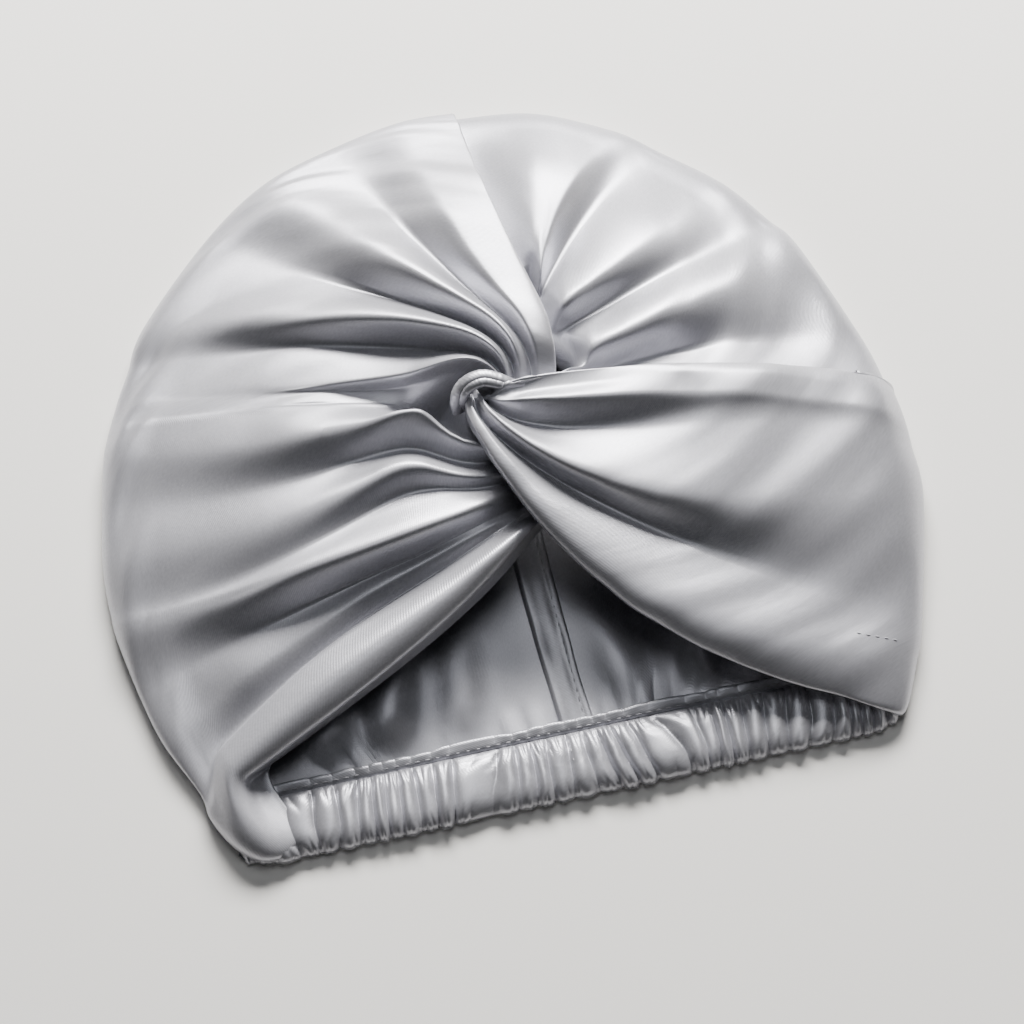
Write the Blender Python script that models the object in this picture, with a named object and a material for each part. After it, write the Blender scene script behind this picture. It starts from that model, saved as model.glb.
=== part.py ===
"""Satin sleep bonnet with a twisted front, lying flat on its back.

Metres, +Z up. +X runs along the nape band to the right and +Y points to the crown's top.
The origin is under the middle of the outline, on the surface that the bonnet lies on.
"""

import math

import bmesh
import bpy
import numpy as np

NAME = "sleep_bonnet"

# Outline of the bonnet as it lies
WIDTH = 0.298
CROWN_RISE = 0.172          # widest line to the crown's top
SKIRT_DROP = 0.165          # lower half of the same rounded outline, if it weren't cut by the band
NAPE_DROP = 0.1125          # widest line to the band's lower edge
KNOT_RISE = 0.031           # widest line to the knot
KNOT_SIDE = -0.002          # knot beside the middle line

# Cloth
KNOT_HEIGHT = 0.050         # the pleats' height at the knot
FRONT_WALL = 0.0024         # measured down through a sloping pleat
BACK_WALL = 0.0018
RIM_ROLL = 0.0040           # radius of the edge between front and back
BACK_RIDGE = 0.0030         # height of the soft gathers above the band
BACK_GATHERS = 5            # on each half
GATHERS_END = 0.8           # the back lies flat beside the centre seam, past this share
RIDGE_FROM = 0.15           # no gather where the back is shorter than this share of DEPTH
RIDGE_RAMP = 0.2            # full gathers where it is longer by this share
SEAM_GAP = 0.0005
SEAM_MEET = 0.27            # the right half meets the seam this share of its way to the rim
PIECE_GAP = 0.0003
CORNER_GAP = 0.0030         # past each end of the band
CORNER_LOW = 0.0125         # the back's corner ends this far above the band's lower edge

# Nape band
BAND_LENGTH = 0.220
BAND_TALL = 0.0255
BAND_THICK = 0.0065
BAND_GATHERS = 38
BAND_FRILL = 0.0035         # thin edge above the casing's stitches
FRILL_THICK = 0.0015
GATHER_DEPTH = 0.0018
GATHER_SCALLOP = 0.0012
GATHER_DRIFT = 0.35         # how far a gather strays, as a share of one gather
DRIFT_RATE = 1.6            # radians per gather
BULGE_CHANGE = 0.10         # share by which the band's thickness varies
BULGE_RATE = 2.3            # radians per gather
END_THICK = 0.55            # thickness at the band's ends, as a share
END_TAPER = 0.04            # share of the length in which it thickens
END_ROUND = 0.3             # how far the ends narrow, as a share of BAND_TALL

# The band's section above its lower edge: share of BAND_TALL, share of its thickness
BAND_PROFILE = ((0.10, 0.0), (0.0, 0.30), (0.04, 0.72), (0.22, 1.0), (0.62, 0.97))
SHOULDER_DROP = 0.10        # below the casing's stitches, as a share of BAND_TALL
SHOULDER_THICK = 0.25
HEEL_DROP = 0.06            # the lower side's bevel, as a share of BAND_TALL
FRILL_SWELL = 0.3           # share by which the frill's edge thickens between gathers

# Centre seam
SEAM_WIDTH = 0.0130
SEAM_THICK = 0.0014
SEAM_SHORT = 0.014          # how far the seam's fold stays inside the rim
SEAM_ROUND = 0.4            # bevel of its upper edges, as a share of SEAM_THICK

# Finish
SATIN = (0.40, 0.40, 0.435, 1.0)
SATIN_DEEP = (0.37, 0.37, 0.40, 1.0)
SATIN_ROUGHNESS = 0.34
SHARP_ANGLE = 50            # degrees

# Sampling of each panel
ROWS_FRONT = 22
STEPS_ROLL = 2
COLUMNS_PER_FOLD = 2
RINGS_PER_GATHER = 3
ROW_CROWDING = 1.15         # above 1, the rows crowd toward the knot as well as the rim
LEAN_STEP = 0.004           # share of the way over which the wall's slope is measured
LEAN_HEIGHT = 0.6           # a common pleat's height, as a share of KNOT_HEIGHT

# Places where a fold's five heights hold, as shares of its way from the knot to the rim
STATIONS = (0.0, 0.06, 0.20, 0.50, 0.82)

# A flare begins at this share of the line's way
FLARE_FROM = 0.90

# Rows across the back: share of the way from the rim to the band, and share of BACK_RIDGE
BACK_STATIONS = ((0.35, 0.0), (0.65, 0.3), (0.85, 1.0), (0.95, 0.0), (1.0, 0.0))

# A row for each fold line, in the order that they meet the rim.
# rim, knot: direction from the knot in degrees, at the rim and at the knot.
# bend: how far the line bows out beside its rim direction. flare: its last turn at the rim.
# start: distance from the knot where the line begins, as a share of half the width.
# reach: how far it goes, as a share of the outline. curl: how near the knot it turns.
# tuck, near, close, mid, far: heights at STATIONS, as shares of KNOT_HEIGHT.
# crease: 0 for a round fold, 1 for a sharp one.
HEIGHTS = "tuck near close mid far".split()
COLUMNS = "rim bend flare knot start reach curl".split() + HEIGHTS + ["crease"]

LEFT_FOLDS = {
    "hem edge":     (231.5, 0, 8.7, 286, 0.295, 1.022, 1.0, 0.44, 0.56, 0.50, 0.39, 0.27, 0.3),
    "hem strand":   (228.0, -12, 6.0, 281.5, 0.295, 1.029, 1.3, 0.44, 0.61, 0.63, 0.54, 0.40, 0.0),
    "hem foot":     (222.3, -4, 3.6, 278, 0.272, 0.997, 1.7, 0.44, 0.53, 0.45, 0.33, 0.18, 0.4),
    "skirt crest":  (214.0, -3, 0.0, 274.5, 0.264, 1.000, 1.7, 0.44, 0.53, 0.46, 0.37, 0.27, 0.0),
    "hem valley":   (207.5, 0, 0.0, 271, 0.258, 0.995, 1.6, 0.44, 0.54, 0.44, 0.34, 0.24, 0.0),
    "D3 crest":     (199.0, 4, 0.0, 263, 0.250, 1.000, 1.4, 0.50, 0.66, 0.72, 0.63, 0.45, 0.0),
    "D3 pocket":    (195.0, 20, 0.0, 261, 0.205, 1.000, 5.0, 0.48, 0.53, 0.57, 0.57, 0.42, 0.2),
    "D2 crest":     (190.5, 16, 0.0, 260, 0.195, 1.000, 6.5, 0.54, 0.70, 0.71, 0.62, 0.45, 0.0),
    "D1 valley":    (178.5, 16, 0.0, 257, 0.150, 0.990, 8.0, 0.50, 0.50, 0.44, 0.38, 0.28, 0.3),
    "D1 crest":     (171.0, 11, 0.0, 252, 0.126, 1.000, 12.0, 0.60, 0.85, 0.77, 0.67, 0.46, 0.0),
    "hollow":       (169.0, 0, 0.0, 222, 0.080, 0.998, 4.0, 0.54, 0.55, 0.57, 0.57, 0.42, 0.0),
    "A5 drop":      (166.8, 0, 0.0, 192, 0.084, 0.996, 3.0, 0.88, 0.64, 0.58, 0.54, 0.38, 0.2),
    "A5 edge":      (164.3, 0, 0.0, 280, 0.034, 0.994, 3.2, 0.98, 0.84, 0.61, 0.51, 0.34, 0.4),
    "A4 crest":     (161.8, 0, 0.0, -10, 0.032, 0.990, 1.4, 0.80, 0.94, 0.81, 0.52, 0.31, 0.0),
    "A4 valley":    (158.6, -3, 0.0, -11, 0.036, 0.987, 0.8, 0.76, 0.78, 0.66, 0.46, 0.28, 0.9),
    "A3 crest":     (149.0, -5, 0.0, -17, 0.044, 1.000, 0.9, 0.79, 0.96, 0.92, 0.74, 0.43, 0.0),
    "A3 crease":    (129.0, 15, 0.0, -5, 0.060, 0.990, 0.7, 0.76, 0.80, 0.72, 0.54, 0.32, 0.9),
    "A2 crest":     (115.0, 9, 0.0, -6, 0.079, 1.000, 1.1, 0.79, 0.97, 0.95, 0.83, 0.50, 0.0),
    "A2 valley":    (103.0, 4, 0.0, -4, 0.105, 0.990, 1.5, 0.75, 0.80, 0.74, 0.58, 0.35, 0.9),
    "A1 crest":     (90.5, 5, 0.0, -6, 0.121, 1.000, 1.7, 0.78, 0.98, 0.94, 0.83, 0.50, 0.0),
    "A1 edge":      (84.5, 0, 0.0, -5, 0.155, 1.000, 1.7, 0.76, 0.93, 0.89, 0.78, 0.47, 0.8),
    "seam":         (81.5, 0, 0.0, 3, 0.181, 0.990, 1.5, 0.70, 0.75, 0.69, 0.54, 0.33, 0.3),
}

RIGHT_FOLDS = {
    "C4 crest":     (71.0, -9, 0.0, 62, 0.400, 1.000, 0.8, 0.60, 0.68, 0.68, 0.60, 0.43, 0.0),
    "C3 crest":     (57.0, 9, 0.0, 56, 0.345, 1.000, 1.9, 0.60, 0.72, 0.71, 0.62, 0.45, 0.0),
    "C3 valley":    (49.8, 12, 0.0, 54, 0.325, 0.990, 1.0, 0.58, 0.62, 0.58, 0.50, 0.37, 0.4),
    "C2 crest":     (37.0, -13, 0.0, 42, 0.262, 1.000, 0.2, 0.62, 0.80, 0.80, 0.72, 0.55, 0.1),
    "C2 pocket":    (26.5, -11, 0.0, 35, 0.250, 0.995, 0.2, 0.60, 0.64, 0.64, 0.62, 0.49, 0.2),
    "C1 crest":     (21.0, -8, 0.0, 14, 0.238, 1.000, 2.5, 0.60, 0.78, 0.79, 0.75, 0.61, 0.0),
    "C1 valley":    (2.0, 9, 0.0, 5, 0.208, 0.990, 1.0, 0.84, 0.66, 0.58, 0.54, 0.48, 0.3),
    "B wall":       (-3.5, 4, 0.0, 0, 0.105, 0.990, 1.0, 0.95, 0.88, 0.77, 0.72, 0.63, 0.2),
    "B top edge":   (-6.0, 5, 0.0, -15, 0.045, 1.000, 3.0, 0.93, 0.93, 0.93, 0.90, 0.80, 0.5),
    "B pocket":     (-8.5, 2, 0.0, -42, 0.040, 1.000, 0.8, 0.88, 0.82, 0.84, 0.88, 0.77, 0.0),
    "B3 crest":     (-11.0, 5, 0.0, -90, 0.036, 1.000, 0.6, 0.86, 0.91, 0.91, 0.84, 0.73, 0.0),
    "B3 valley":    (-14.5, 20, 0.0, -104, 0.036, 0.990, 0.2, 0.84, 0.76, 0.66, 0.60, 0.56, 0.4),
    "B2 crest":     (-22.2, -14, 0.0, -112, 0.038, 1.000, 0.15, 0.86, 0.90, 0.87, 0.77, 0.63, 0.0),
    "B2 valley":    (-39.0, -8, 0.0, -152, 0.042, 0.990, 0.7, 0.84, 0.78, 0.64, 0.45, 0.40, 0.6),
    "hem strand":   (-43.2, -35, 0.0, -163, 0.046, 1.000, 1.1, 0.84, 0.89, 0.81, 0.59, 0.47, 0.0),
    "hem edge":     (-48.6, -35, 0.0, -172, 0.056, 1.008, 1.2, 0.80, 0.86, 0.73, 0.46, 0.30, 0.3),
}

HALF_WIDTH = WIDTH / 2
DEPTH = CROWN_RISE + NAPE_DROP
WIDEST_Y = NAPE_DROP - DEPTH / 2
KNOT = np.array([KNOT_SIDE, WIDEST_Y + KNOT_RISE])
BAND_LOW_Y = -DEPTH / 2
BAND_TOP_Y = BAND_LOW_Y + BAND_TALL
BACK_END_Y = BAND_TOP_Y + PIECE_GAP
FRILL_LOW = BACK_WALL + PIECE_GAP


def fold_rows(table):
    """Each fold line as a dictionary of its named columns."""
    return [dict(zip(COLUMNS, row)) for row in table.values()]


def direction(degrees):
    """Unit vector in plan."""
    angle = math.radians(degrees)
    return np.array([math.cos(angle), math.sin(angle)])


def rim_distance(degrees):
    """Distance from the knot to the rounded outline, in one direction."""
    x, y = direction(degrees)
    height = CROWN_RISE if y * HALF_WIDTH > -KNOT_RISE else SKIRT_DROP
    a = (x / HALF_WIDTH) ** 2 + (y / height) ** 2
    b = 2 * (KNOT[0] * x / HALF_WIDTH ** 2 + KNOT_RISE * y / height ** 2)
    c = (KNOT[0] / HALF_WIDTH) ** 2 + (KNOT_RISE / height) ** 2 - 1
    return (-b + math.sqrt(b * b - 4 * a * c)) / (2 * a)


def through(places, values, at):
    """Smooth curve through a few values."""
    places = list(places)
    values = list(values)
    if at >= places[-1]:
        return values[-1]
    i = max(k for k in range(len(places) - 1) if places[k] <= at)
    slopes = []
    for k in (i, i + 1):
        low = max(k - 1, 0)
        high = min(k + 1, len(places) - 1)
        slopes.append((values[high] - values[low]) / (places[high] - places[low]))
    span = places[i + 1] - places[i]
    u = (at - places[i]) / span
    rise = values[i + 1] - values[i]
    cubic = (slopes[0] + slopes[1]) * span - 2 * rise
    square = 3 * rise - (2 * slopes[0] + slopes[1]) * span
    return values[i] + u * (slopes[0] * span + u * (square + u * cubic))


def ease(low, high, x):
    """Smooth step from 0 at low to 1 at high."""
    share = min(max((x - low) / (high - low), 0.0), 1.0)
    return share * share * (3 - 2 * share)


def dome(t):
    """How the pleats' height falls off toward the rim, 1 near the knot and 0 at the rim."""
    return math.sqrt(max(0.0, 1 - t ** 5))


def fold_line(row, t):
    """Point of one fold line on the front's outer face."""
    start = row["start"] * HALF_WIDTH
    end = row["reach"] * rim_distance(row["rim"])
    r = start + (end - start) * t
    far_turn = (start / end) ** row["curl"]
    turn = ((start / r) ** row["curl"] - far_turn) / (1 - far_turn)
    rim = row["rim"] - row["flare"]
    angle = rim + row["bend"] * (1 - t) + (row["knot"] - rim - row["bend"]) * turn
    plan = KNOT + r * direction(angle + row["flare"] * ease(FLARE_FROM, 1.0, t))
    shares = [row[key] for key in HEIGHTS]
    height = KNOT_HEIGHT * through(STATIONS, shares, t)
    return np.array([plan[0], plan[1], RIM_ROLL + (height - RIM_ROLL) * dome(t)])


def lean(t):
    """Way from the outer face into the cloth at one row: how far inward and how far down."""
    ahead = min(t + LEAN_STEP, 1.0)
    behind = max(t - LEAN_STEP, 0.0)
    fall = (dome(behind) - dome(ahead)) * LEAN_HEIGHT * KNOT_HEIGHT
    run = (ahead - behind) * (HALF_WIDTH - RIM_ROLL)
    length = math.hypot(fall, run)
    return fall / length, run / length


def pleat(u, crease_a, crease_b):
    """Share of the way from one fold line's height to the next, rounded at smooth folds."""
    slope_a = 1.5 * crease_a
    slope_b = 1.5 * crease_b
    return u * (slope_a + u * (3 - 2 * slope_a - slope_b + u * (slope_a + slope_b - 2)))


def spread(points, creases):
    """A row of points across the folds, with rounded cloth between each pair of lines."""
    points = np.array(points)
    count = len(points)
    row = []
    for i in range(count - 1):
        before = points[max(i - 1, 0)]
        a = points[i]
        b = points[i + 1]
        after = points[min(i + 2, count - 1)]
        slope_a = (b - before) / (2 if i > 0 else 1)
        slope_b = (after - a) / (2 if i < count - 2 else 1)
        for k in range(COLUMNS_PER_FOLD):
            u = k / COLUMNS_PER_FOLD
            square = 3 * (b - a) - 2 * slope_a - slope_b
            cubic = slope_a + slope_b - 2 * (b - a)
            point = a + u * (slope_a + u * (square + u * cubic))
            point[2] = a[2] + (b[2] - a[2]) * pleat(u, creases[i], creases[i + 1])
            row.append(point)
    row.append(points[-1])
    return np.array(row)


def front_rows(rows, seam_at_start):
    """Outer and inner points of a panel's front, from the knot to the rim."""
    creases = [row["crease"] for row in rows]
    seam_row = fold_rows({"seam": LEFT_FOLDS["seam"]})[0]
    outer = []
    inner = []
    for k in range(ROWS_FRONT + 1):
        t = math.sin(0.5 * math.pi * k / ROWS_FRONT) ** ROW_CROWDING
        line_points = [fold_line(row, t) for row in rows]
        if seam_at_start:
            line_points[0] = fold_line(seam_row, SEAM_MEET + (1 - SEAM_MEET) * t)
        row = spread(line_points, creases)
        inward, down = lean(t)
        away = row[:, :2] - KNOT
        away /= np.linalg.norm(away, axis=1)[:, None]
        under = row.copy()
        under[:, :2] -= away * inward * FRONT_WALL
        under[:, 2] -= down * FRONT_WALL
        outer.append(row)
        inner.append(under)
    return outer, inner


def roll_rows(rim):
    """The rounded edge below the rim's widest points, outer and inner."""
    away = rim[:, :2] - KNOT
    away /= np.linalg.norm(away, axis=1)[:, None]
    outer = []
    inner = []
    for k in range(1, STEPS_ROLL + 1):
        angle = 0.5 * math.pi * k / STEPS_ROLL
        for face, radius in ((outer, RIM_ROLL), (inner, RIM_ROLL - BACK_WALL)):
            row = rim.copy()
            row[:, :2] -= away * (RIM_ROLL - radius * math.cos(angle))
            row[:, 2] = RIM_ROLL - radius * math.sin(angle)
            face.append(row)
    return outer, inner


def back_end(share, side):
    """Point on the back's lower edge, from beside the band's end round to the middle."""
    beside = BAND_TALL - CORNER_LOW
    middle_way = BAND_LENGTH / 2 + CORNER_GAP
    way = share * (beside + middle_way)
    if way < beside:
        return side * middle_way, BACK_END_Y - beside + way
    return side * (middle_way - (way - beside)), BACK_END_Y


def back_rows(edge, side):
    """The flat back from the rim to the band, with soft gathers above the band."""
    count = len(edge)
    steps = np.linalg.norm(np.diff(edge[:, :2], axis=0), axis=1)
    share = np.concatenate(([0.0], np.cumsum(steps))) / steps.sum()
    if side > 0:
        share = 1 - share
    ends = np.array([back_end(s, side) for s in share])
    length = np.linalg.norm(ends - edge[:, :2], axis=1)
    wave = 0.5 - 0.5 * np.cos(2 * math.pi * BACK_GATHERS * share / GATHERS_END)
    wave[share > GATHERS_END] = 0.0
    ridge = BACK_RIDGE * wave * np.clip((length / DEPTH - RIDGE_FROM) / RIDGE_RAMP, 0.0, 1.0)
    outer = []
    inner = []
    for v, lift in BACK_STATIONS:
        row = np.zeros((count, 3))
        row[:, :2] = edge[:, :2] + (ends - edge[:, :2]) * v
        row[:, 2] = ridge * lift
        top = row.copy()
        top[:, 2] += BACK_WALL
        outer.append(row)
        inner.append(top)
    return outer, inner


def panel_mesh(table, side):
    """One half of the crown: a closed wall of cloth over front, rim and back."""
    rows = fold_rows(table)
    seam_at_start = side > 0
    if seam_at_start:
        rows = fold_rows({"seam": LEFT_FOLDS["seam"]}) + rows
    outer, inner = front_rows(rows, seam_at_start)
    half_gap = np.array([side * SEAM_GAP / 2, 0.0, 0.0])
    seam_column = 0 if seam_at_start else -1
    for row in outer + inner:
        row[seam_column] += half_gap
    rim_outer, rim_inner = roll_rows(outer[-1])
    flat_outer, flat_inner = back_rows(rim_outer[-1], side)
    for row in flat_outer + flat_inner:
        row[seam_column] += half_gap
    outer += rim_outer + flat_outer
    inner += rim_inner + flat_inner
    return close_wall(np.array(outer), np.array(inner))


def close_wall(outer, inner):
    """Closed mesh between two grids of points of the same size."""
    mesh = bmesh.new()
    grids = [[[mesh.verts.new(p) for p in row] for row in grid] for grid in (outer, inner)]
    top, under = grids
    last_row = len(top) - 1
    last_column = len(top[0]) - 1
    for i in range(last_row):
        for j in range(last_column):
            mesh.faces.new((top[i][j], top[i][j + 1], top[i + 1][j + 1], top[i + 1][j]))
            mesh.faces.new((under[i][j], under[i + 1][j], under[i + 1][j + 1], under[i][j + 1]))
    for i in range(last_row):
        mesh.faces.new((top[i][0], top[i + 1][0], under[i + 1][0], under[i][0]))
        mesh.faces.new((top[i][last_column], under[i][last_column],
                        under[i + 1][last_column], top[i + 1][last_column]))
    for j in range(last_column):
        mesh.faces.new((top[0][j], under[0][j], under[0][j + 1], top[0][j + 1]))
        mesh.faces.new((top[last_row][j], top[last_row][j + 1],
                        under[last_row][j + 1], under[last_row][j]))
    return mesh


def clear_scene():
    for item in list(bpy.data.objects):
        bpy.data.objects.remove(item, do_unlink=True)


def satin(name, colour):
    material = bpy.data.materials.new(name)
    material.use_nodes = True
    shader = material.node_tree.nodes["Principled BSDF"]
    shader.inputs["Base Color"].default_value = colour
    shader.inputs["Roughness"].default_value = SATIN_ROUGHNESS
    shader.inputs["Metallic"].default_value = 0.0
    return material


def add_object(name, mesh, material, collection):
    data = bpy.data.meshes.new(name)
    mesh.normal_update()
    mesh.to_mesh(data)
    mesh.free()
    data.shade_smooth()
    data.set_sharp_from_angle(angle=math.radians(SHARP_ANGLE))
    data.materials.append(material)
    item = bpy.data.objects.new(name, data)
    collection.objects.link(item)
    return item


def band_section(gather, bulge, end):
    """Cross-section of the band, from its lower back edge round to the frill and back."""
    thick = (BAND_THICK * bulge - GATHER_DEPTH * gather) * end
    round_off = (1 - end) * END_ROUND * BAND_TALL
    low = BAND_LOW_Y + GATHER_SCALLOP * gather + round_off / 2
    top = BAND_TOP_Y - round_off
    frill_y = top + BAND_FRILL
    frill_top = FRILL_LOW + FRILL_THICK
    outer = [(low + up * BAND_TALL, out * thick) for up, out in BAND_PROFILE]
    return outer + [
        (top - SHOULDER_DROP * BAND_TALL, frill_top + SHOULDER_THICK * thick),
        (top, frill_top),
        (frill_y, frill_top + FRILL_SWELL * FRILL_THICK * (1 - gather)),
        (frill_y, FRILL_LOW),
        (top, FRILL_LOW),
        (top, PIECE_GAP),
        (top - HEEL_DROP * BAND_TALL, 0.0),
    ]


def band_mesh():
    """The gathered casing: a loft of sections, a ridge and a groove for each gather."""
    mesh = bmesh.new()
    count = BAND_GATHERS * RINGS_PER_GATHER
    rings = []
    for k in range(count + 1):
        share = k / count
        x = (share - 0.5) * (BAND_LENGTH - 2 * PIECE_GAP)
        phase = share * BAND_GATHERS
        drift = GATHER_DRIFT * math.sin(DRIFT_RATE * phase)
        gather = 0.5 - 0.5 * math.cos(2 * math.pi * (phase + drift))
        bulge = 1 - BULGE_CHANGE * (1 - math.sin(BULGE_RATE * phase))
        end = min(1.0, END_THICK + (1 - END_THICK) * min(share, 1 - share) / END_TAPER)
        rings.append([mesh.verts.new((x, y, z)) for y, z in band_section(gather, bulge, end)])
    corners = len(rings[0])
    for k in range(count):
        for i in range(corners):
            j = (i + 1) % corners
            mesh.faces.new((rings[k][i], rings[k + 1][i], rings[k + 1][j], rings[k][j]))
    mesh.faces.new(rings[0])
    mesh.faces.new(list(reversed(rings[-1])))
    return mesh


def seam_mesh():
    """The seam's fold of cloth, flat on the back's inner face."""
    low_y = BAND_TOP_Y + BAND_FRILL + PIECE_GAP
    high_y = DEPTH / 2 - SEAM_SHORT
    mesh = bmesh.new()
    bmesh.ops.create_cube(mesh, size=1.0)
    bmesh.ops.scale(mesh, vec=(SEAM_WIDTH, high_y - low_y, SEAM_THICK), verts=mesh.verts)
    middle = (0.0, (low_y + high_y) / 2, BACK_WALL + PIECE_GAP + SEAM_THICK / 2)
    bmesh.ops.translate(mesh, vec=middle, verts=mesh.verts)
    long_edges = [e for e in mesh.edges if abs(e.verts[0].co.y - e.verts[1].co.y) > SEAM_WIDTH]
    upper = [e for e in long_edges if e.verts[0].co.z > middle[2]]
    bmesh.ops.bevel(mesh, geom=upper, offset=SEAM_ROUND * SEAM_THICK, segments=2, affect="EDGES")
    return mesh


def main():
    clear_scene()
    collection = bpy.data.collections.new(NAME)
    bpy.context.scene.collection.children.link(collection)
    cloth = satin("satin", SATIN)
    deep = satin("satin_inside", SATIN_DEEP)
    add_object("left_panel", panel_mesh(LEFT_FOLDS, -1), cloth, collection)
    add_object("right_panel", panel_mesh(RIGHT_FOLDS, 1), cloth, collection)
    add_object("nape_band", band_mesh(), cloth, collection)
    add_object("centre_seam", seam_mesh(), deep, collection)


main()
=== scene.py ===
"""Looks of the satin sleep bonnet with a twisted front, lying flat on its back."""

import math

import bpy
import numpy as np
from mathutils import Matrix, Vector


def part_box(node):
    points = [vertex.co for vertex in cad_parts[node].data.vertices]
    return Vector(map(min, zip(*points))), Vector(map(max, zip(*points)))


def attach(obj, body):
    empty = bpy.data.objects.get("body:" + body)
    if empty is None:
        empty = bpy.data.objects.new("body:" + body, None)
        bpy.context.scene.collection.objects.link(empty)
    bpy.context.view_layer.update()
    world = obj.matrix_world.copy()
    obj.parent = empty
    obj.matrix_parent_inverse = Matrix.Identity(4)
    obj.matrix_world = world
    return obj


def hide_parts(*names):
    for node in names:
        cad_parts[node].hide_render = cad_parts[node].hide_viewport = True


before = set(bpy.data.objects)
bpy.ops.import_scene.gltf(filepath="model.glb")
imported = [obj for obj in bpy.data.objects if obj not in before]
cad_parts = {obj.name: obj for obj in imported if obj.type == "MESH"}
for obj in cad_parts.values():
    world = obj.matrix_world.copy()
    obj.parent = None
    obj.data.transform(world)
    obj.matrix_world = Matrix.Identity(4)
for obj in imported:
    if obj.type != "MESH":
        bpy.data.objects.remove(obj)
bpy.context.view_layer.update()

# Sizes of the solids, in metres
WIDTH = 0.298
CROWN_RISE = 0.172
SKIRT_DROP = 0.165
NAPE_DROP = 0.1125
KNOT_RISE = 0.031
KNOT_SIDE = -0.002
KNOT_HEIGHT = 0.050
RIM_ROLL = 0.0040
SEAM_MEET = 0.27
BAND_LENGTH = 0.220
BAND_TALL = 0.0255
BAND_THICK = 0.0065
CORNER_GAP = 0.0030
CORNER_LOW = 0.0125

HALF_WIDTH = WIDTH / 2
DEPTH = CROWN_RISE + NAPE_DROP
WIDEST_Y = NAPE_DROP - DEPTH / 2
KNOT = np.array([KNOT_SIDE, WIDEST_Y + KNOT_RISE])
BAND_LOW_Y = -DEPTH / 2
BAND_TOP_Y = BAND_LOW_Y + BAND_TALL

# Cloth: its thickness, the rows along a fold line, the columns between two lines, the rows round
# the rim and over the back, and the lines turned in under each hem
CLOTH = 0.0009
ROWS = 150
COLUMNS = 10
ROLL_STEPS = 7
BACK_ROWS = 44
HEM_LINES = 2

# Hidden starts of the fold lines, under the knot: length, rows, sag and least slope. The first
# lines of the right half go on further, by these factors.
TUCK = 0.007
TUCK_ROWS = 6
TUCK_SAG = 0.35
TUCK_SLOPE = 0.15
RIGHT_TUCK = (3.6, 3.6, 3.0, 2.4, 1.6)

# Wrinkles and dents: size across and along the fold lines, and height
WRINKLE = (0.014, 0.050, 0.00035)
FINE_WRINKLE = (0.006, 0.022, 0.00010)
DENT = (0.024, 0.040, 0.0021)
DENT_DRIFT = 0.05

# Fold lines, as in the solids, with more of them. rim, bend, flare and knot are degrees. start is a
# share of HALF_WIDTH, reach a share of the way to the outline, and curl how tightly a line turns at
# the knot. tuck to far are heights at STATIONS, as shares of KNOT_HEIGHT. crease is how sharp it is.
STATIONS = np.array([0.0, 0.06, 0.20, 0.50, 0.82, 1.0])
HEIGHTS = "tuck near close mid far".split()
FIELDS = "rim bend flare knot start reach curl".split() + HEIGHTS + ["crease"]
FLARE_FROM = 0.84             # share of a line where its flare starts
RIM_DROP = 5                  # how late the front drops to the rim
CREASE = 1.5                  # strength of the creases, which fade towards the rim
CREASE_FADE = 0.85

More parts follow.
